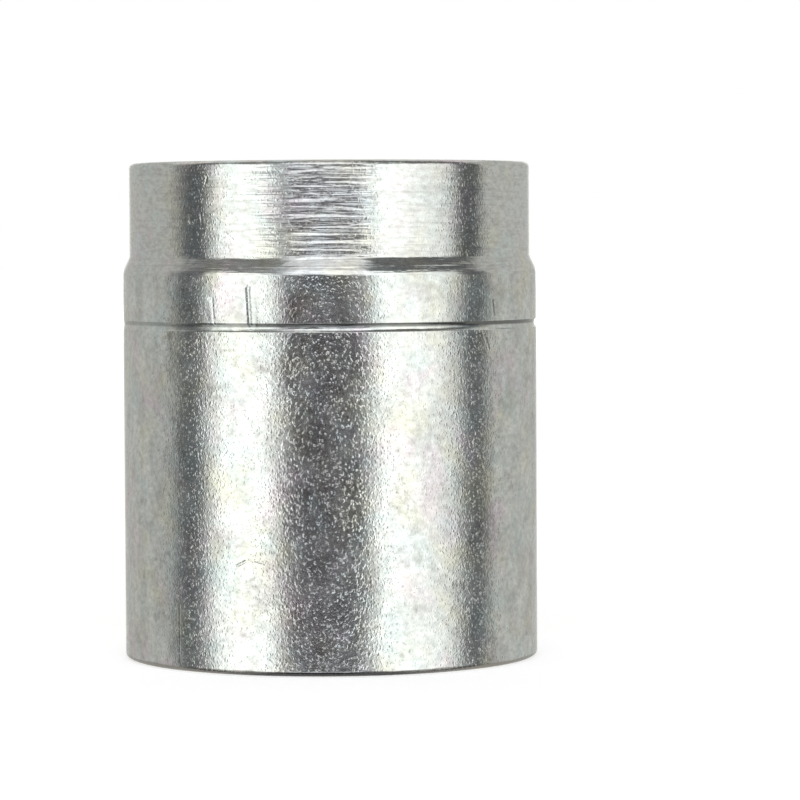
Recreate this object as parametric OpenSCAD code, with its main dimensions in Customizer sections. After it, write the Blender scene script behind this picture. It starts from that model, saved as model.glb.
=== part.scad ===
// Crimp hose ferrule: one turned sleeve of zinc plated steel for a hydraulic hose end.
// It stands on its open hose end at z = 0, and its axis is +Z. The hose goes in from below
// over the teeth, and the lip under the collar's end face locks on the stem of the fitting.

/* [Sleeve] */
// Length from the hose end face to the collar's end face
ferrule_length = 37; // [35:0.5:60]
// Outside diameter of the body and of the band above the groove
body_d = 31; // [30.6:0.1:36]
// Rounding of the outer edge at the hose end
hose_end_round = 0.4; // [0.1:0.05:0.8]

/* [Collar] */
// Outside diameter of the turned collar
collar_d = 30; // [28.5:0.1:30.4]
// Length of the collar, from the shoulder to its end face
collar_length = 7; // [5:0.1:9]
// Rounding of the outer edge at the collar's end face
collar_end_round = 0.4; // [0.1:0.05:0.8]
// Length of the sloping shoulder between the collar and the band
shoulder_length = 0.8; // [0.5:0.05:1.5]
// Rounding where the shoulder meets the band
shoulder_round = 0.6; // [0.2:0.05:1]

/* [Marking groove] */
// Distance from the collar's lower end to the middle of the groove
groove_below_collar = 5; // [3.5:0.1:9]
// Depth of the groove in the body
groove_depth = 0.16; // [0.05:0.01:0.3]
// Radius of the round nose that cut the groove
groove_nose_r = 0.4; // [0.35:0.05:1]

/* [Hose bore] */
// Diameter across the crests of the teeth
hose_bore_d = 23.5; // [21:0.1:26]
// Length of the chamfer that leads the hose in
lead_in_length = 1.2; // [0.5:0.1:2]
// Width of that chamfer on the end face
lead_in_width = 0.7; // [0.3:0.05:1.2]
// Length of the plain land between the chamfer and the first gap
entry_land = 2.2; // [1:0.1:3]
// Number of gripping teeth
tooth_count = 6; // [2:1:7]
// Distance from one tooth to the next
tooth_pitch = 3.7; // [3.4:0.05:4]
// Depth of the gaps between the teeth
tooth_depth = 1.1; // [0.6:0.05:1.5]
// Length of the flat land on each crest
tooth_crest = 0.8; // [0.4:0.05:1]
// Length of the slope that lets the hose slide in
tooth_ramp = 1.5; // [0.8:0.05:1.7]
// Length of the steep flank that holds the hose
tooth_flank = 0.3; // [0.1:0.05:0.5]

/* [Lip] */
// Diameter of the hole that the stem of the fitting passes through
stem_hole_d = 17.5; // [14:0.1:19]
// Thickness of the lip below the collar's end face
lip_thickness = 4; // [2.5:0.1:6]
// Chamfer at both ends of the stem hole
stem_hole_chamfer = 0.5; // [0.2:0.05:0.9]
// Depth of the relief between the last tooth and the lip, below the crests
relief_depth = 0.75; // [0.3:0.05:1.5]
// Rounding in the corner between the relief and the lip
relief_round = 0.6; // [0.2:0.05:1]

/* [Hidden] */
$fn = 96;

steel_colour = [0.74, 0.75, 0.74];

body_r = body_d / 2;
collar_r = collar_d / 2;
bore_r = hose_bore_d / 2;
root_r = bore_r + tooth_depth;
relief_r = bore_r + relief_depth;
stem_r = stem_hole_d / 2;

collar_z = ferrule_length - collar_length;
band_z = collar_z - shoulder_length;
groove_z = collar_z - groove_below_collar;
lip_z = ferrule_length - lip_thickness;
teeth_z = lead_in_length + entry_land;
teeth_end_z = teeth_z + tooth_count * tooth_pitch;

// The shoulder slopes off the axis by this angle, and its rounding ends this far from the corner
shoulder_angle = atan((body_r - collar_r) / shoulder_length);
shoulder_tangent = shoulder_round * tan(shoulder_angle / 2);

// Cuts reach this far past the face that they open
overcut = 1;

// All sections below lie right of the axis, as half sections with the hose end at the bottom.

// What a rounding takes off a square corner at the origin, where the shape lies left of it and below it
module corner_waste(round_r) {
    difference() {
        translate([-round_r, -round_r])
            square(round_r + overcut);
        translate([-round_r, -round_r])
            circle(round_r);
    }
}

module groove_waste() {
    translate([body_r - groove_depth + groove_nose_r, groove_z])
        circle(groove_nose_r);
}

// What lies inside the shoulder's slope, which touches its rounding's circle at the origin
module inside_shoulder() {
    reach = 2 * ferrule_length;
    rotate(shoulder_angle)
        translate([shoulder_round - reach, -reach])
            square([reach, 2 * reach]);
}

// What the rounding takes off between the band and the shoulder, with its circle at the origin
module shoulder_corner_waste() {
    reach = shoulder_round + overcut;
    difference() {
        polygon([
            [0, 0],
            [reach, 0],
            [reach, reach * tan(shoulder_angle)]
        ]);
        circle(shoulder_round);
    }
}

module body_section() {
    rounding_centre = [body_r - shoulder_round, band_z - shoulder_tangent];
    difference() {
        intersection() {
            square([body_r, collar_z + overcut]);
            translate(rounding_centre)
                inside_shoulder();
        }
        translate([body_r, 0])
            mirror([0, 1])
                corner_waste(hose_end_round);
        translate(rounding_centre)
            shoulder_corner_waste();
        groove_waste();
    }
}

module collar_section() {
    difference() {
        square([collar_r, ferrule_length]);
        translate([collar_r, ferrule_length])
            corner_waste(collar_end_round);
    }
}

// The gap before a tooth: the steep flank of the land below it, the root, and the tooth's ramp
module tooth_gap(z) {
    gap_end = z + tooth_pitch - tooth_crest;
    polygon([
        [0, z],
        [bore_r, z],
        [root_r, z + tooth_flank],
        [root_r, gap_end - tooth_ramp],
        [bore_r, gap_end],
        [0, gap_end]
    ]);
}

// The relief starts at the last tooth's steep flank and ends under the lip in a rounded corner
module relief() {
    difference() {
        polygon([
            [0, teeth_end_z],
            [bore_r, teeth_end_z],
            [relief_r, teeth_end_z + tooth_flank],
            [relief_r, lip_z],
            [0, lip_z]
        ]);
        translate([relief_r, lip_z])
            corner_waste(relief_round);
    }
}

module hose_bore() {
    translate([0, -overcut])
        square([bore_r, teeth_end_z + overcut]);
    polygon([
        [0, 0],
        [bore_r + lead_in_width, 0],
        [bore_r, lead_in_length],
        [0, lead_in_length]
    ]);
    for (i = [0 : tooth_count - 1])
        tooth_gap(teeth_z + i * tooth_pitch);
    relief();
}

module stem_hole() {
    chamfer_r = stem_r + stem_hole_chamfer;
    polygon([
        [0, lip_z],
        [chamfer_r, lip_z],
        [stem_r, lip_z + stem_hole_chamfer],
        [stem_r, ferrule_length - stem_hole_chamfer],
        [chamfer_r, ferrule_length],
        [0, ferrule_length]
    ]);
}

module ferrule() {
    color(steel_colour)
        rotate_extrude()
            difference() {
                union() {
                    body_section();
                    collar_section();
                }
                hose_bore();
                stem_hole();
            }
}

ferrule();
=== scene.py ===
"""A crimp hose ferrule of zinc plated steel on a white floor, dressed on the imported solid.

The ferrule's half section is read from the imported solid, its shoulder is drawn out, its edges are broken,
and it is turned into a fine mesh that carries the tool marks, the groove's runout and the nicks of a part
that has been handled.
"""
import math

import bmesh
import bpy
import numpy as np
from mathutils import Matrix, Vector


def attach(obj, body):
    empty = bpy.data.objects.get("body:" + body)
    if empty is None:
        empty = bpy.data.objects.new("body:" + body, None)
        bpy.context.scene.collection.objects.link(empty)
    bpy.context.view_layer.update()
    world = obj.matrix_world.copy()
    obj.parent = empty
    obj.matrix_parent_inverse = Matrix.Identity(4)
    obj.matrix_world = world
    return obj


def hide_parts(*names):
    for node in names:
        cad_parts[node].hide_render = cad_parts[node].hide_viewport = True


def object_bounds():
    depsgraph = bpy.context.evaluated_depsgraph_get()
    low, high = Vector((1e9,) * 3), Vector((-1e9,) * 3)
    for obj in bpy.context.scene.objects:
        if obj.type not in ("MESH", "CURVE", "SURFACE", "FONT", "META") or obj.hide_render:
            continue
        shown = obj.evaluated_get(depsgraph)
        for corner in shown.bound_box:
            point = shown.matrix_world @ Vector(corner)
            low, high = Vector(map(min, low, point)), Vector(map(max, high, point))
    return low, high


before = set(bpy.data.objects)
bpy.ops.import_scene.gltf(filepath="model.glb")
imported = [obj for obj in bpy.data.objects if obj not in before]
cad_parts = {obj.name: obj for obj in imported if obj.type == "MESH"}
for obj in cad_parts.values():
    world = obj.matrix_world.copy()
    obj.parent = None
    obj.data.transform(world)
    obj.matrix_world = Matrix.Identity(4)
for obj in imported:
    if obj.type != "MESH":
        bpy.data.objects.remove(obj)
cad_low, cad_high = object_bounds()

MM = 0.001
# Lengths that differ by less are equal
NEAR = 0.001 * MM

# Camera: where it stands from the ferrule's axis, how it is turned, and its lens
CAMERA_BACK = 294.92 * MM
CAMERA_UP = 31.90 * MM
CAMERA_YAW = math.radians(1.0176)
CAMERA_PITCH = math.radians(2.4746)
CAMERA_ROLL = math.radians(-0.2968)
CAMERA_LENS = 176.43
CAMERA_SENSOR = 36.0
CAMERA_CLIP = (0.01, 10.0)

# Mesh: the corners that are broken, by how much, and the most of a stretch that a round takes, then the step
# along each kind of wall and round the axis, and the step at the marks
CORNER_ANGLE = math.radians(14)
EDGE_BREAK = 0.07 * MM
EDGE_POINTS = 4
INNER_EDGE_POINTS = 2
FOOT_FILLET = 0.7 * MM
FOOT_POINTS = 7
ROUND_SHARE = 0.4
WALL_STEP = {
    "collar": 0.13 * MM,
    "shoulder": 0.14 * MM,
    "band": 0.30 * MM,
    "groove": 0.10 * MM,
    "body": 0.60 * MM,
    "face": 0.80 * MM,
    "bore": 1.60 * MM,
}
TURN_STEP = math.radians(3.0)
MARK_STEP = 0.075 * MM
MARK_MARGIN = 0.16 * MM

# Form errors of the real part: slow waves, the band's crown and where it ends in half widths of the band, the
# groove's uneven depth and its deep side, the collar's feed marks with how they sway round the axis and drift
# along it in radians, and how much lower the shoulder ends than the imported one
WAVINESS = 0.010 * MM
BAND_CROWN = 0.020 * MM
BAND_CROWN_END = 1.6
GROOVE_RUNOUT = 0.36
GROOVE_DEEP_SIDE = math.radians(75)
FEED_MARK = 0.004 * MM
FEED_PITCH = 0.66 * MM
FEED_SWAY = 1.3
FEED_DRIFT = 2.0
FEED_DRIFT_LENGTH = 1.7 * MM
SHOULDER_MORE = 0.32 * MM

# Nicks and scratches: their points in degrees from the front and mm of height, from the top or the left,
# their width in mm to the left or below and to the right or above, and their depth in mm
BODY_NICKS = [
    ([(-33.0, 27.1), (-32.8, 26.2), (-32.5, 25.33)], 0.12, 0.08, 0.016),
    ([(-22.5, 27.85), (-22.3, 26.8), (-22.0, 25.25)], 0.10, 0.34, 0.055),
    ([(-68.2, 24.4), (-67.3, 23.0)], 0.10, 0.12, 0.020),
    ([(45.7, 24.6), (48.1, 23.3)], 0.10, 0.10, 0.022),
    ([(-25.9, 7.9), (-23.3, 8.25), (-20.4, 8.3), (-17.9, 8.1)], 0.11, 0.13, 0.045),
    ([(-45.3, 4.8), (-45.4, 0.5)], 0.09, 0.09, 0.012),
    ([(49.7, 26.8), (50.4, 25.7)], 0.16, 0.10, 0.014),
    ([(64.2, 27.9), (65.2, 26.5)], 0.10, 0.14, 0.014),
    ([(-55.9, 28.6), (-55.6, 27.9)], 0.10, 0.12, 0.018),
]
COLLAR_NICKS = [
    ([(-16.75, 36.3), (-15.8, 35.76)], 0.08, 0.08, 0.010),
    ([(-16.2, 31.85), (-14.1, 31.45)], 0.08, 0.08, 0.010),
    ([(-29.8, 31.8), (-27.4, 31.3)], 0.08, 0.08, 0.014),
    ([(-38.4, 33.2), (-38.0, 32.7)], 0.09, 0.09, 0.015),
    ([(-43.0, 33.0), (-42.3, 32.5)], 0.09, 0.09, 0.015),
    ([(-35.9, 35.8), (-36.8, 35.2)], 0.09, 0.09, 0.015),
    ([(12.5, 34.75), (13.5, 34.2)], 0.08, 0.08, 0.010),
    ([(57.8, 35.2), (58.2, 34.8)], 0.08, 0.08, 0.014),
    ([(66.3, 35.1), (65.5, 34.7)], 0.08, 0.08, 0.014),
]
# The burr beside a nick: its height as a share of the depth, and its place and width in the nick's widths
BURR_HEIGHT = 0.25
BURR_PLACE = 1.4
BURR_WIDTH = 0.4


def smooth(low, high, value):
    """0 below low, 1 above high, and an even S between them."""
    t = np.clip((value - low) / (high - low), 0.0, 1.0)
    return t * t * (3 - 2 * t)


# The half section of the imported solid

def half_section(node):
    """The solid's outline in the half-plane x > 0, y = 0, as [r, z] points up the bore and down outside."""
    bm = bmesh.new()
    bm.from_mesh(node.data)
    bmesh.ops.remove_doubles(bm, verts=bm.verts, dist=NEAR / 10)
    links = {}
    for edge in bm.edges:
        if all(abs(v.co.y) < NEAR and v.co.x > 0 for v in edge.verts):
            a, b = edge.verts
            links.setdefault(a, []).append(b)
            links.setdefault(b, []).append(a)
    start = min(links, key=lambda v: (v.co.z, v.co.x))
    previous, here = None, start
    points = []
    while here is not start or not points:
        points.append((here.co.x, here.co.z))
        ahead = next(v for v in links[here] if v is not previous)
        previous, here = here, ahead
    bm.free()
    points = np.array(points)
    r, z = points.T
    clockwise = np.sum(r * np.roll(z, -1) - np.roll(r, -1) * z) < 0
    return points if clockwise else points[::-1]


class Section:
    """The outline's main sizes, found in the outline itself."""

    def __init__(self, points):
        r, z = points.T
        self.length = z.max()
        self.body_r = r.max()
        self.top_r = r[z > self.length - NEAR].max()
        walls = []
        for (r0, z0), (r1, z1) in zip(points, np.roll(points, -1, axis=0)):
            if abs(r1 - r0) < NEAR and r0 > self.top_r and z0 > z1:
                walls.append((r0, z1, z0))
        collar = max(walls, key=lambda wall: wall[2])
        body = sorted((wall for wall in walls if wall[0] > self.body_r - NEAR), key=lambda wall: wall[1])
        self.collar_r, self.collar_low = collar[0], collar[1]
        self.base_round, self.groove_low = body[0][1], body[0][2]
        self.groove_high, self.band_high = body[-1][1], body[-1][2]

    def kind(self, a, b):
        """The kind of wall that the stretch from a to b belongs to."""
        r, z = (a + b) / 2
        if z < NEAR or z > self.length - NEAR:
            return "face"
        if r < self.top_r - NEAR:
            return "bore"
        if z > self.collar_low:
            return "collar"
        if z > self.band_high:
            return "shoulder"
        if z > self.groove_high:
            return "band"
        return "groove" if z > self.groove_low else "body"


def long_shoulder(points, section):
    """The outline with its shoulder drawn out below the collar's foot."""
    r, z = points.T
    shoulder = (r > section.top_r) & (z > section.band_high - NEAR) & (z < section.collar_low)
    stretch = 1 + SHOULDER_MORE / (section.collar_low - section.band_high)
    drawn = section.collar_low - stretch * (section.collar_low - z)
    return np.stack([r, np.where(shoulder, drawn, z)], axis=-1)


def corner_round(points, i, section):
    """The radius and the number of points that break the corner at point i."""
    r, z = points[i]
    if r < section.top_r:
        return EDGE_BREAK, INNER_EDGE_POINTS
    foot = abs(z - section.collar_low) < NEAR
    return (FOOT_FILLET, FOOT_POINTS) if foot else (EDGE_BREAK, EDGE_POINTS)


def broken_edges(points, section):
    """The outline with each sharp corner replaced by a small round."""
    out = []
    for i, here in enumerate(points):
        back = points[i - 1] - here
        ahead = points[(i + 1) % len(points)] - here
        cross = back[0] * ahead[1] - back[1] * ahead[0]
        angle = math.pi - abs(math.atan2(cross, back @ ahead))
        if angle < CORNER_ANGLE:
            out.append(here)
            continue
        radius, count = corner_round(points, i, section)
        reach = radius * math.tan(angle / 2)
        reach = min(reach, ROUND_SHARE * np.linalg.norm(back), ROUND_SHARE * np.linalg.norm(ahead))
        start = here + back / np.linalg.norm(back) * reach
        end = here + ahead / np.linalg.norm(ahead) * reach
        for t in np.linspace(0, 1, count):
            out.append((1 - t) ** 2 * start + 2 * t * (1 - t) * here + t ** 2 * end)
    return np.array(out)


# Marks of handling

def line_offset(u, z, points):
    """Signed distance on the unrolled wall to a line, positive to its right or above it, in metres."""
    best = np.full(np.broadcast(u, z).shape, np.inf)
    for (u0, z0), (u1, z1) in zip(points, points[1:]):
        du, dz = u1 - u0, z1 - z0
        t = np.clip(((u - u0) * du + (z - z0) * dz) / (du * du + dz * dz), 0, 1)
        off_u, off_z = u - u0 - t * du, z - z0 - t * dz
        side = np.where(du * off_z - dz * off_u < 0, -1, 1)
        offset = side * np.hypot(off_u, off_z)
        best = np.where(np.abs(offset) < np.abs(best), offset, best)
    return best


def nick_points(nick, radius):
    """A nick's points as arc length and height, in metres."""
    return [(math.radians(angle) * radius, z * MM) for angle, z in nick[0]]


def nick_depth(nicks, angle, z, radius):
    """How deep the nicks are at each place on a wall, in metres, with their raised burrs."""
    depth = np.zeros(np.broadcast(angle, z).shape)
    for nick in nicks:
        left, right, deep = (size * MM for size in nick[1:])
        offset = line_offset(angle * radius, z, nick_points(nick, radius))
        d = np.where(offset < 0, -offset / left, offset / right)
        furrow = np.clip(1 - d * d, 0, None) ** 2
        burr = np.exp(-((d - BURR_PLACE) / BURR_WIDTH) ** 2)
        depth += deep * (furrow - BURR_HEIGHT * burr)
    return depth


def fine_spans(section):
    """The stretches of angle, and of height on the body, in which the marks lie."""
    angles, heights = [], []
    for nicks, radius in ((BODY_NICKS, section.body_r), (COLLAR_NICKS, section.collar_r)):
        for nick in nicks:
            u, z = np.array(nick_points(nick, radius)).T
            angles.append(((u.min() - MARK_MARGIN) / radius, (u.max() + MARK_MARGIN) / radius))
            if nicks is BODY_NICKS:
                for end in (z.min(), z.max()):
                    heights.append((end - MARK_MARGIN, end + MARK_MARGIN))
    return angles, heights


def spaced(low, high, step, fine_step, spans):
    """Places from low to high, a step apart at most, or a fine step apart inside the spans."""
    merged = []
    for start, end in sorted(spans):
        if merged and start < merged[-1][1] + step / 2:
            merged[-1][1] = max(merged[-1][1], end)
        elif low < start and end < high:
            merged.append([start, end])
    cuts = [low] + [cut for span in merged for cut in span if low < cut < high] + [high]
    places = []
    for i, (a, b) in enumerate(zip(cuts, cuts[1:])):
        count = math.ceil((b - a) / (fine_step if i % 2 else step))
        places.extend(np.linspace(a, b, count, endpoint=False))
    return places + [high]


# The mesh

def waviness(angle, z):
    """Slow hills and hollows left by drawing and turning, from 0 to 1."""
    around = 3 * angle + 0.7 * np.sin(z / (9 * MM)) + 0.4
    along = z / (4.3 * MM) + 1.1 * np.sin(2 * angle + 0.8)
    return 0.5 + 0.2 * np.sin(around) + 0.18 * np.sin(along) + 0.12 * np.sin(7 * angle - z / (2.9 * MM))


def rows_of(points, section):
    """Points along the outline at the wall's own step, and the kind of wall after each."""
    heights = fine_spans(section)[1]
    rows, kinds = [], []
    for a, b in zip(points, np.roll(points, -1, axis=0)):
        kind = section.kind(a, b)
        spans = []
        if kind in ("body", "band"):
            spans = [(a[1] - high, a[1] - low) for low, high in heights]
        length = np.linalg.norm(b - a)
        for t in spaced(0, length, WALL_STEP[kind], MARK_STEP, spans)[:-1]:
            rows.append(a + (b - a) * t / length)
            kinds.append(kind)
    return np.array(rows), kinds


def shaped(rows, angles, section):
    """Each row's radius and height at each angle, with the form errors and marks put in."""
    r = np.repeat(rows[:, :1], len(angles), axis=1)
    z = np.repeat(rows[:, 1:], len(angles), axis=1)
    angle = np.repeat(angles[None, :], len(rows), axis=0)
    outer = r > section.top_r - NEAR
    body = outer & (z < section.band_high)
    collar = outer & (z > section.collar_low)

    groove = body & (z > section.groove_low) & (z < section.groove_high)
    runout = 1 - GROOVE_RUNOUT * (1 - np.cos(angle - GROOVE_DEEP_SIDE))
    r = np.where(groove, section.body_r - (section.body_r - r) * runout, r)

    edge = smooth(0, section.base_round, z) * smooth(0, section.base_round, section.length - z)
    sink = WAVINESS * waviness(angle, z)
    band_half = (section.band_high - section.groove_high) / 2
    from_middle = (z - section.groove_high) / band_half - 1
    on_band = np.clip(BAND_CROWN_END - np.abs(from_middle), 0, 1)
    sink += BAND_CROWN * on_band * np.minimum(from_middle ** 2, 1)
    turns = 2 * math.pi * z / FEED_PITCH
    sway = FEED_SWAY * np.sin(2 * angle)
    drift = FEED_DRIFT * np.sin(z / FEED_DRIFT_LENGTH)
    feed = 0.5 + 0.5 * np.sin(turns + sway + drift)
    sink += collar * FEED_MARK * feed
    sink += collar * nick_depth(COLLAR_NICKS, angle, z, section.collar_r)
    sink += body * nick_depth(BODY_NICKS, angle, z, section.body_r)
    return np.minimum(r - outer * edge * sink, np.maximum(r, section.top_r)), z


def grid_normals(places):
    """The outward normals of a closed grid of places, from its own steps along and round the section."""
    along = np.roll(places, -1, axis=0) - np.roll(places, 1, axis=0)
    ahead = np.roll(places, -1, axis=1) - places
    behind = places - np.roll(places, 1, axis=1)
    long_ahead = np.linalg.norm(ahead, axis=-1, keepdims=True)
    long_behind = np.linalg.norm(behind, axis=-1, keepdims=True)
    around = ahead * long_behind / long_ahead + behind * long_ahead / long_behind
    normals = np.cross(along, around)
    return normals / np.linalg.norm(normals, axis=-1, keepdims=True)


def build_ferrule(outline, section, materials):
    """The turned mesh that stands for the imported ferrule."""
    rows, kinds = rows_of(broken_edges(outline, section), section)
    fine = MARK_STEP / section.body_r
    angles = np.array(spaced(-math.pi, math.pi, TURN_STEP, fine, fine_spans(section)[0])[:-1])
    r, z = shaped(rows, angles, section)
    places = np.stack([r * np.sin(angles), -r * np.cos(angles), z], axis=-1)
    count, around = r.shape

    corners = np.arange(count * around).reshape(count, around)
    below = np.roll(corners, -1, axis=0)
    quads = np.stack([corners, below, np.roll(below, -1, axis=1), np.roll(corners, -1, axis=1)], axis=-1)
    names = list(WALL_STEP)
    zones = np.repeat([names.index(kind) for kind in kinds], around)
    mesh = bpy.data.meshes.new("ferrule_steel")
    mesh.from_pydata(places.reshape(-1, 3).tolist(), [], quads.reshape(-1, 4).tolist())
    for name in names:
        mesh.materials.append(materials[name])
    mesh.polygons.foreach_set("material_index", zones)
    mesh.shade_smooth()
    mesh.normals_split_custom_set_from_vertices(grid_normals(places).reshape(-1, 3).tolist())
    piece = bpy.data.objects.new("ferrule_steel", mesh)
    bpy.context.scene.collection.objects.link(piece)
    return piece


# Shader nodes

# How far noise pushes the cells of the grain about, in cells along each axis
GRAIN_WARP = (1.2, 1.2, 1.2)


def add(tree, kind, **values):
    """A shader node with its properties and unlinked inputs set."""
    node = tree.nodes.new("ShaderNode" + kind)
    for name, value in values.items():
        if name in node.inputs:
            node.inputs[name].default_value = value
        else:
            setattr(node, name, value)
    return node


def stretched(tree, scale):
    """Object coordinates times a scale for each axis, in features a metre."""
    mapping = add(tree, "Mapping", Scale=scale)
    tree.links.new(add(tree, "TexCoord").outputs["Object"], mapping.inputs["Vector"])
    return mapping.outputs["Vector"]


def noise(tree, scale, detail=2.0, roughness=0.5, distortion=0.0):
    """Fractal noise from 0 to 1 with that many features a metre along each axis."""
    node = add(tree, "TexNoise", Scale=1.0, Detail=detail, Roughness=roughness, Distortion=distortion)
    tree.links.new(stretched(tree, scale), node.inputs["Vector"])
    return node.outputs["Fac"]


def math_node(tree, operation, *values):
    """The result of a math operation on sockets and numbers."""
    node = add(tree, "Math", operation=operation)
    for socket, value in zip(node.inputs, values):
        if isinstance(value, bpy.types.NodeSocket):
            tree.links.new(value, socket)
        else:
            socket.default_value = value
    return node.outputs[0]


def spread(tree, value, low, high, to_low=0.0, to_high=1.0):
    """A value remapped from one range to another, and held at its ends."""
    node = add(tree, "MapRange", clamp=True)
    for socket, number in zip(node.inputs[1:5], (low, high, to_low, to_high)):
        socket.default_value = number
    tree.links.new(value, node.inputs[0])
    return node.outputs[0]


def mixed(tree, factor, one, two, blend="MIX"):
    """Two colours, each a tuple or a socket, mixed by a factor."""
    # The node's colour sockets come after those for numbers and vectors
    node = add(tree, "Mix", data_type="RGBA", blend_type=blend)
    for socket, value in ((node.inputs[0], factor), (node.inputs[6], one), (node.inputs[7], two)):
        if isinstance(value, bpy.types.NodeSocket):
            tree.links.new(value, socket)
        else:
            socket.default_value = value
    return node.outputs[2]


def bumped(tree, *layers):
    """A surface normal from layers of height, each a socket of 0 to 1 and its real height in metres."""
    total = 0.0
    for height, metres in layers:
        total = math_node(tree, "MULTIPLY_ADD", height, metres, total)
    node = add(tree, "Bump", Strength=1.0, Distance=1.0)
    tree.links.new(total, node.inputs["Height"])
    return node.outputs["Normal"]


def grains(tree, scale, reach):
    """Small uneven bumps that stand apart, each with a height of its own from 0.5 to 1."""
    place = stretched(tree, scale)
    warp = add(tree, "TexNoise", Scale=1.0, Detail=0.0)
    tree.links.new(place, warp.inputs["Vector"])
    warped = add(tree, "VectorMath", operation="MULTIPLY_ADD")
    warped.inputs[1].default_value = GRAIN_WARP
    tree.links.new(warp.outputs["Color"], warped.inputs[0])
    tree.links.new(place, warped.inputs[2])
    node = add(tree, "TexVoronoi", Scale=1.0)
    tree.links.new(warped.outputs["Vector"], node.inputs["Vector"])
    rise = add(tree, "MapRange", clamp=True, interpolation_type="SMOOTHSTEP")
    for socket, number in zip(rise.inputs[1:5], (reach, 0.0, 0.0, 1.0)):
        socket.default_value = number
    tree.links.new(node.outputs["Distance"], rise.inputs[0])
    own = add(tree, "SeparateColor")
    tree.links.new(node.outputs["Color"], own.inputs[0])
    return math_node(tree, "MULTIPLY", rise.outputs[0], spread(tree, own.outputs[0], 0, 1, 0.5, 1))


# Materials

# The range in which most of a noise's values lie
NOISE_RANGE = (0.3, 0.7)

# Colours: the plating and its passivate's tints, dirt, painted shade for rim and groove, and duller steel
ZINC = (0.862, 0.88, 0.852, 1)
STRAW = (0.89, 0.88, 0.765, 1)
ROSE = (0.91, 0.83, 0.86, 1)
SEA_GREEN = (0.80, 0.895, 0.885, 1)
STAIN = (0.55, 0.52, 0.46, 1)
SMUDGE = (0.43, 0.41, 0.37, 1)
PIT = (0.3, 0.3, 0.29, 1)
# Painted shade: the dark that the bottom rim's rounding shows, put into its colour
RIM_PAINTED_SHADE = (0.09, 0.09, 0.095, 1)
# Painted shade: the dark on the groove's upper flank, put into its colour
GROOVE_PAINTED_SHADE = (0.13, 0.13, 0.125, 1)
BARE_STEEL = (0.64, 0.59, 0.53, 1)
TURNED_LINE = (0.52, 0.50, 0.48, 1)
TURNED_FLECK = (0.48, 0.47, 0.45, 1)
FACED_STEEL = (0.52, 0.51, 0.49, 1)
BORED_STEEL = (0.58, 0.57, 0.54, 1)

# The grain under the plating: bumps a metre along each axis, how far each reaches in its cell, its height,
# the height of the roughness between the bumps, the share of both on the band, and the collar's own trace
GRAIN = (4900, 4900, 3700)
GRAIN_REACH = 0.56
GRAIN_HEIGHT = 0.0125 * MM
ROUGH_HEIGHT = 0.010 * MM
BAND_SHARE = 0.7
COLLAR_GRAIN_HEIGHT = 0.008 * MM

# The collar's streaks, long and short: features a metre along each axis, detail and height
STREAKS = [
    ((130, 130, 2700), 1.5, 0.102 * MM),
    ((480, 480, 3200), 1.0, 0.041 * MM),
    ((1300, 1300, 3600), 1.0, 0.014 * MM),
]
# Where they are deepest, left of the ferrule's middle plane, how far from there they start to fade and where
# they are shallowest, and the share of their height there
STREAKS_MIDDLE = -0.9 * MM
STREAKS_FADE = (3.6 * MM, 6.8 * MM)
STREAKS_LEAST = 0.55
# How far from that plane the painted shade on the bottom rim starts to thin out, and where it is thinnest
RIM_SHADE_FADE = (4.5 * MM, 10.5 * MM)
# Where the painted shade in the groove starts to thicken, left of that plane, and from where on it is
# thickest
GROOVE_SHADE_SPREAD = (-13.5 * MM, -4.0 * MM)
# How far the collar's gloss is drawn out, and the quarter turn that lays it across the turning lines
COLLAR_STRETCH = 0.8
QUARTER_TURN = 0.25


def plating_colour(tree):
    """Zinc with the faint straw, rose and sea-green patches of its clear passivate."""
    colour = mixed(tree, spread(tree, noise(tree, (330, 330, 300)), 0.46, 0.68), ZINC, STRAW)
    shifted = noise(tree, (290, 290, 260), distortion=0.6)
    colour = mixed(tree, spread(tree, shifted, 0.52, 0.70, 0, 0.85), colour, ROSE)
    other = noise(tree, (390, 390, 340), distortion=0.4)
    return mixed(tree, spread(tree, other, 0.50, 0.72, 0, 0.7), colour, SEA_GREEN)


def mottled(tree, colour):
    """A colour with the cloudy light and shade of plating, from fine spots to patches."""
    spots = spread(tree, noise(tree, (2000, 2000, 2600), 3, 0.6), 0.28, 0.72, 0.76, 1.13)
    cloud = spread(tree, noise(tree, (620, 620, 330), 2), *NOISE_RANGE, 0.87, 1.08)
    shade = math_node(tree, "MULTIPLY", spots, cloud)
    grey = add(tree, "CombineColor")
    for channel in grey.inputs[:3]:
        tree.links.new(shade, channel)
    return mixed(tree, 1.0, colour, grey.outputs[0], "MULTIPLY")


def place_of(tree, axis):
    """The place along an axis of the ferrule, in metres."""
    position = add(tree, "SeparateXYZ")
    tree.links.new(add(tree, "TexCoord").outputs["Object"], position.inputs[0])
    return position.outputs[axis]


def rim_colour(tree, colour, edge_height):
    """A colour with bare steel on the rounded bottom edge, and ragged painted shade that thins out to the
    sides.
    """
    height = place_of(tree, "Z")
    bare = spread(tree, height, 0.7 * edge_height, edge_height, 0.8, 0)
    colour = mixed(tree, bare, colour, BARE_STEEL)
    # Painted shade: the lowest part of the rim is darkened, most at the middle of front and back
    ragged = math_node(tree, "MULTIPLY_ADD", noise(tree, (300,) * 3, 3), -0.9 * edge_height, height)
    painted_shade = spread(tree, ragged, 0.35 * edge_height, 0.52 * edge_height, 1, 0)
    aside = math_node(tree, "ABSOLUTE", place_of(tree, "X"))
    thinning = spread(tree, aside, *RIM_SHADE_FADE, 0.93, 0.3)
    return mixed(tree, math_node(tree, "MULTIPLY", painted_shade, thinning), colour, RIM_PAINTED_SHADE)


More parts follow.
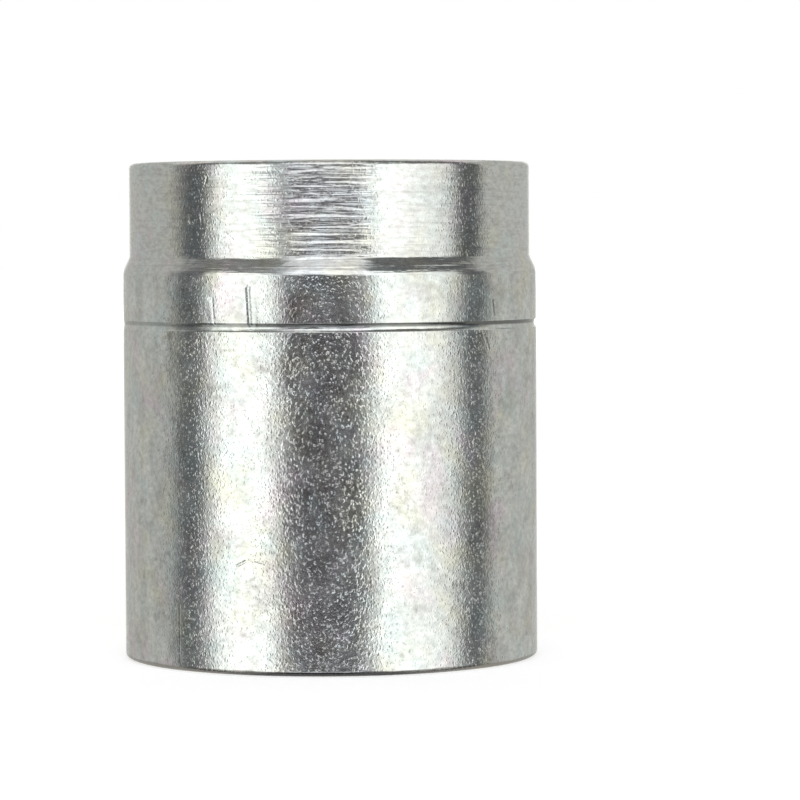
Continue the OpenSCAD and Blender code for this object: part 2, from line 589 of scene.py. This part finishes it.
def shaded_groove_colour(middle, half):
    """Plating colour with painted shade under the groove's upper edge, from its middle height and half width.
    """
    def colour_of(tree):
        # Painted shade: the groove's upper half, which faces down, is darkened, more towards the right
        painted_shade = spread(tree, place_of(tree, "Z"), middle - 0.1 * half, middle + 0.3 * half, 0, 1)
        thinning = spread(tree, place_of(tree, "X"), *GROOVE_SHADE_SPREAD, 0.4, 0.85)
        painted_shade = math_node(tree, "MULTIPLY", painted_shade, thinning)
        return mixed(tree, painted_shade, mottled(tree, plating_colour(tree)), GROOVE_PAINTED_SHADE)
    return colour_of


def drawn_colour(edge_height):
    """Plating colour with upright stains and smudges, small dark pits and a dark lower edge of painted shade.
    """
    def colour_of(tree):
        stains = spread(tree, noise(tree, (520, 520, 420), 4, 0.6), 0.50, 0.74, 0, 0.35)
        colour = mixed(tree, stains, plating_colour(tree), STAIN)
        smudges = spread(tree, noise(tree, (330, 330, 420), 7, 0.78), 0.555, 0.68, 0, 0.7)
        colour = mixed(tree, smudges, colour, SMUDGE)
        pits = spread(tree, noise(tree, (3200, 3200, 2600), 1), 0.69, 0.77, 0, 0.45)
        colour = mottled(tree, mixed(tree, pits, colour, PIT))
        return rim_colour(tree, colour, edge_height)
    return colour_of


def drawn_roughness(tree):
    """Patches of more and less gloss."""
    return spread(tree, noise(tree, (700, 700, 400), 3), *NOISE_RANGE, 0.14, 0.21)


def drawn_normal(share):
    """The fine pebbled grain under the plating, at a share of its full height."""
    def normal_of(tree):
        patchy = spread(tree, noise(tree, (330, 330, 260), 2), *NOISE_RANGE, 0.85, 1.08)
        grain = math_node(tree, "MULTIPLY", grains(tree, GRAIN, GRAIN_REACH), patchy)
        rough = noise(tree, (4600, 4600, 4300), 1)
        return bumped(tree, (grain, GRAIN_HEIGHT * share), (rough, ROUGH_HEIGHT * share))
    return normal_of


def turned_colour(tree):
    """Plating colour with darker turning lines and flecks along them."""
    lines = spread(tree, noise(tree, (320, 320, 4200), 2, 0.6), 0.50, 0.75, 0, 0.52)
    colour = mixed(tree, lines, plating_colour(tree), TURNED_LINE)
    flecks = spread(tree, noise(tree, (1700, 1700, 3400), 3, 0.6), 0.40, 0.72, 0, 0.6)
    return mixed(tree, flecks, colour, TURNED_FLECK)


def turned_roughness(tree):
    """Gloss that changes from one turning line to the next."""
    return spread(tree, noise(tree, (500, 500, 5200), 2), *NOISE_RANGE, 0.14, 0.18)


def turned_normal(tree):
    """The tool's streaks round the axis, deepest at the front and back, and a trace of grain."""
    aside = math_node(tree, "SUBTRACT", place_of(tree, "X"), STREAKS_MIDDLE)
    aside = math_node(tree, "ABSOLUTE", aside)
    depth = spread(tree, aside, *STREAKS_FADE, 1.0, STREAKS_LEAST)
    layers = []
    for scale, detail, height in STREAKS:
        streak = noise(tree, scale, detail, 0.6)
        layers.append((math_node(tree, "MULTIPLY", streak, depth), height))
    layers.append((grains(tree, GRAIN, GRAIN_REACH), COLLAR_GRAIN_HEIGHT))
    return bumped(tree, *layers)


def shoulder_normal(tree):
    """A smoother cut than the collar's, with a few streaks and chatter marks."""
    streaks = noise(tree, (130, 130, 4200), 2)
    chatter = noise(tree, (750, 750, 2600), 2)
    return bumped(tree, (streaks, 0.050 * MM), (chatter, 0.030 * MM))


def faced_colour(tree):
    """The faced ends are duller than the collar."""
    return mixed(tree, 0.5, turned_colour(tree), FACED_STEEL)


def faced_roughness(tree):
    """Patches of more and less gloss."""
    return spread(tree, noise(tree, (500,) * 3, 2), *NOISE_RANGE, 0.24, 0.32)


def faced_normal(tree):
    """Rings round the axis on the end faces."""
    flat = add(tree, "VectorMath", operation="MULTIPLY")
    flat.inputs[1].default_value = (1, 1, 0)
    tree.links.new(add(tree, "TexCoord").outputs["Object"], flat.inputs[0])
    radius = add(tree, "VectorMath", operation="LENGTH")
    tree.links.new(flat.outputs["Vector"], radius.inputs[0])
    rings = add(tree, "TexNoise", noise_dimensions="1D", Scale=4200.0, Detail=3.0)
    tree.links.new(radius.outputs["Value"], rings.inputs["W"])
    return bumped(tree, (rings.outputs["Fac"], 0.012 * MM), (noise(tree, (900,) * 3, 2), 0.01 * MM))


def bore_colour(tree):
    """The plating is thinner and duller inside."""
    dull = spread(tree, noise(tree, (400, 400, 900), 3), 0.35, 0.7, 0.1, 0.5)
    return mottled(tree, mixed(tree, dull, plating_colour(tree), BORED_STEEL))


def bore_roughness(tree):
    """Gloss that changes along the bore."""
    return spread(tree, noise(tree, (500, 500, 2600), 2), *NOISE_RANGE, 0.22, 0.38)


def metal(name, colour_of, roughness_of, normal_of, stretch=0.0):
    """A plated metal from the functions that make its colour, roughness and normal.

    Stretch draws the gloss out across the turning lines.
    """
    material = bpy.data.materials.new(name)
    material.use_nodes = True
    tree = material.node_tree
    shader = tree.nodes["Principled BSDF"]
    shader.inputs["Metallic"].default_value = 1.0
    tree.links.new(colour_of(tree), shader.inputs["Base Color"])
    tree.links.new(roughness_of(tree), shader.inputs["Roughness"])
    tree.links.new(normal_of(tree), shader.inputs["Normal"])
    if stretch:
        shader.inputs["Anisotropic"].default_value = stretch
        shader.inputs["Anisotropic Rotation"].default_value = QUARTER_TURN
        tangent = add(tree, "Tangent", direction_type="RADIAL", axis="Z")
        tree.links.new(tangent.outputs["Tangent"], shader.inputs["Tangent"])
    return material


def make_materials(section):
    """The material of each kind of wall."""
    drawn = drawn_colour(section.base_round)
    groove_middle = (section.groove_low + section.groove_high) / 2
    # The groove's colour carries painted shade on its upper half
    shaded_groove = shaded_groove_colour(groove_middle, section.groove_high - groove_middle)
    return {
        "collar": metal("turned_zinc", turned_colour, turned_roughness, turned_normal, COLLAR_STRETCH),
        "shoulder": metal("sloped_zinc", turned_colour, turned_roughness, shoulder_normal),
        "band": metal("band_zinc", drawn, drawn_roughness, drawn_normal(BAND_SHARE)),
        "groove": metal("groove_zinc", shaded_groove, drawn_roughness, shoulder_normal),
        "body": metal("drawn_zinc", drawn, drawn_roughness, drawn_normal(1.0)),
        "face": metal("faced_zinc", faced_colour, faced_roughness, faced_normal),
        "bore": metal("bored_zinc", bore_colour, bore_roughness, shoulder_normal),
    }


# Studio: softboxes on both sides, lights above and below the camera, grey card behind and dark between.
# Directions are degrees to the right of the camera's place, and above the floor, as the ferrule sees them.

# The dome's radius in metres and the step of its mesh in degrees
STUDIO_RADIUS = 1.0
STUDIO_STEP = 1.5
# The floor: its half side, colour, gap below the ferrule, and the glow that makes it white outside the shadow
FLOOR_HALF = 3.0
FLOOR_COLOUR = (0.85, 0.85, 0.85, 1)
FLOOR_GAP = 0.01 * MM
FLOOR_GLOW = 0.585

# The light from every side, and colours and stretches that lights share
DARK = (0.107, 0.114, 0.120)
LEFT_WHITE = (1.23, 1.25, 1.21)
FRONT = ((-23, 6), (24, 6))
LEFT_OF_FRONT = ((-36, 8), (-22, 6))
ALL_ROUND = ((-270, 1), (360, 1))
LIGHTS = [
    # middle and width of the soft edges where it starts and ends round the axis, the same in height,
    # colour, and the share of it that is lost from start to end
    (((-69, 20), (-30, 16)), ((-17, 12), (11, 10)), LEFT_WHITE, 0.0),
    (((-69, 20), (-40, 18)), ((11, 10), (31, 8)), LEFT_WHITE, 0.0),
    (((-69, 20), (-40, 18)), ((-44, 14), (-17, 12)), LEFT_WHITE, 0.0),
    (((24.2, 18), (75.6, 15)), ((-44, 14), (30, 8)), (1.45, 1.47, 1.43), 0.54),
    (FRONT, ((7, 4), (40, 8)), (0.93, 0.94, 1.00), 0.0),
    (FRONT, ((26, 8), (40, 8)), (0.36, 0.36, 0.36), 0.0),
    (FRONT, ((-28, 8), (-11, 4)), (0.68, 0.70, 0.75), 0.0),
    (LEFT_OF_FRONT, ((4, 5), (44, 8)), (0.30, 0.30, 0.31), 0.0),
    (LEFT_OF_FRONT, ((-28, 8), (-4, 5)), (0.30, 0.30, 0.31), 0.0),
    (((-30, 8), (25, 8)), ((40, 8), (70, 8)), (0.68, 0.68, 0.70), 0.0),
    # the grey card behind, a lamp in its middle, the white above it, and the floor
    (((96, 12), (265, 20)), ((-60, 14), (34, 10)), (0.405, 0.40, 0.375), 0.15),
    (((168, 16), (192, 16)), ((-91, 1), (40, 20)), (0.50, 0.50, 0.48), 0.0),
    (((103, 24), (252, 26)), ((36, 10), (91, 1)), (0.50, 0.50, 0.49), 0.0),
    (ALL_ROUND, ((-91, 1), (-54, 14)), (0.30, 0.30, 0.29), 0.0),
    (((-85, 30), (-30, 24)), ((-91, 1), (-52, 14)), (0.40, 0.40, 0.39), 0.0),
    (((24, 24), (90, 30)), ((-91, 1), (-52, 14)), (0.40, 0.40, 0.39), 0.0),
    # what the dark opening round the camera takes away, and the ceiling, paler on the left
    (((-30, 14), (12, 20)), ((-11, 4), (7, 4)), (-0.032, -0.046, -0.045), 0.0),
    (ALL_ROUND, ((44, 10), (91, 1)), (0.008, 0.002, -0.003), 0.0),
    (((-150, 40), (-34, 16)), ((34, 10), (91, 1)), (0.122, 0.119, 0.110), 0.0),
    (((34, 16), (110, 30)), ((40, 10), (91, 1)), (0.042, 0.036, 0.029), 0.0),
]


def window(value, start, end):
    """1 between two soft edges, each given by its middle and width, and 0 outside."""
    rise = smooth(start[0] - start[1] / 2, start[0] + start[1] / 2, value)
    fall = smooth(end[0] - end[1] / 2, end[0] + end[1] / 2, value)
    return rise * (1 - fall)


def studio_light(azimuth, elevation):
    """The light that comes to the ferrule from a direction, as red, green and blue."""
    light = np.array(DARK) * np.ones((len(azimuth), 1))
    for around, height, colour, loss in LIGHTS:
        (start, _), (end, _) = around
        # Directions go on past 180 degrees for a light behind the ferrule
        turned = np.where(azimuth < start - 90, azimuth + 360, azimuth)
        share = window(turned, *around) * window(elevation, *height)
        share *= 1 - loss * np.clip((turned - start) / (end - start), 0, 1)
        light += share[:, None] * np.array(colour)
    return light


def studio_material():
    """A material that glows in the mesh's own light colours."""
    material = bpy.data.materials.new("studio_light")
    material.use_nodes = True
    material.cycles.emission_sampling = "NONE"
    tree = material.node_tree
    tree.nodes.clear()
    colour = add(tree, "Attribute", attribute_name="light")
    glow = add(tree, "Emission")
    tree.links.new(colour.outputs["Color"], glow.inputs["Color"])
    tree.links.new(glow.outputs["Emission"], add(tree, "OutputMaterial").inputs["Surface"])
    return material


def build_studio():
    """A dome of light round the ferrule, which the camera looks through."""
    around = np.arange(-180, 180, STUDIO_STEP)
    up = np.arange(-90 + STUDIO_STEP, 90, STUDIO_STEP)
    azimuth, elevation = (angles.ravel() for angles in np.meshgrid(around, up))
    a, e = np.radians(azimuth), np.radians(elevation)
    places = STUDIO_RADIUS * np.stack([np.sin(a) * np.cos(e), -np.cos(a) * np.cos(e), np.sin(e)], axis=-1)
    light = studio_light(azimuth, elevation)
    corners = np.arange(len(a)).reshape(len(up), len(around))
    beside = np.roll(corners, -1, axis=1)
    quads = np.stack([corners[:-1], corners[1:], beside[1:], beside[:-1]], axis=-1)
    faces = quads.reshape(-1, 4).tolist() + [corners[0].tolist(), corners[-1, ::-1].tolist()]
    mesh = bpy.data.meshes.new("studio")
    mesh.from_pydata(places.tolist(), [], faces)
    shade = mesh.attributes.new("light", "FLOAT_COLOR", "POINT")
    shade.data.foreach_set("color", np.hstack([light, np.ones((len(light), 1))]).ravel())
    mesh.materials.append(studio_material())
    studio = bpy.data.objects.new("studio", mesh)
    studio.visible_camera = False
    bpy.context.scene.collection.objects.link(studio)


def build_floor():
    """A white floor that keeps the ferrule's shadow."""
    mesh = bpy.data.meshes.new("floor")
    half = FLOOR_HALF
    corners = [(-half, -half, 0), (half, -half, 0), (half, half, 0), (-half, half, 0)]
    mesh.from_pydata(corners, [], [(0, 1, 2, 3)])
    material = bpy.data.materials.new("white_floor")
    material.use_nodes = True
    shader = material.node_tree.nodes["Principled BSDF"]
    shader.inputs["Base Color"].default_value = FLOOR_COLOUR
    shader.inputs["Roughness"].default_value = 0.9
    shader.inputs["Specular IOR Level"].default_value = 0.0
    shader.inputs["Emission Color"].default_value = (1, 1, 1, 1)
    shader.inputs["Emission Strength"].default_value = FLOOR_GLOW
    mesh.materials.append(material)
    floor = bpy.data.objects.new("floor", mesh)
    floor.location.z = cad_low.z - FLOOR_GAP
    floor.visible_glossy = False
    floor.visible_shadow = False
    bpy.context.scene.collection.objects.link(floor)


def build_world():
    """The white that the camera sees past the floor."""
    world = bpy.data.worlds.new("white")
    world.use_nodes = True
    background = world.node_tree.nodes["Background"]
    background.inputs["Color"].default_value = (1, 1, 1, 1)
    background.inputs["Strength"].default_value = 1.0
    bpy.context.scene.world = world


def build_camera():
    """The camera at its own place, turned by yaw, pitch and roll."""
    data = bpy.data.cameras.new("camera")
    data.lens = CAMERA_LENS
    data.sensor_width = CAMERA_SENSOR
    data.clip_start, data.clip_end = CAMERA_CLIP
    camera = bpy.data.objects.new("camera", data)
    turn = (
        Matrix.Rotation(-CAMERA_YAW, 4, "Z")
        @ Matrix.Rotation(math.pi / 2 - CAMERA_PITCH, 4, "X")
        @ Matrix.Rotation(CAMERA_ROLL, 4, "Z")
    )
    camera.matrix_world = Matrix.Translation((0, -CAMERA_BACK, CAMERA_UP)) @ turn
    bpy.context.scene.collection.objects.link(camera)
    bpy.context.scene.camera = camera


packed = half_section(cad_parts["ferrule"])
outline = long_shoulder(packed, Section(packed))
section = Section(outline)
piece = build_ferrule(outline, section, make_materials(section))
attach(piece, "root")
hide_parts("ferrule")

build_camera()
build_world()
build_floor()
build_studio()
bpy.context.scene.view_settings.view_transform = "Standard"

bpy.context.view_layer.update()
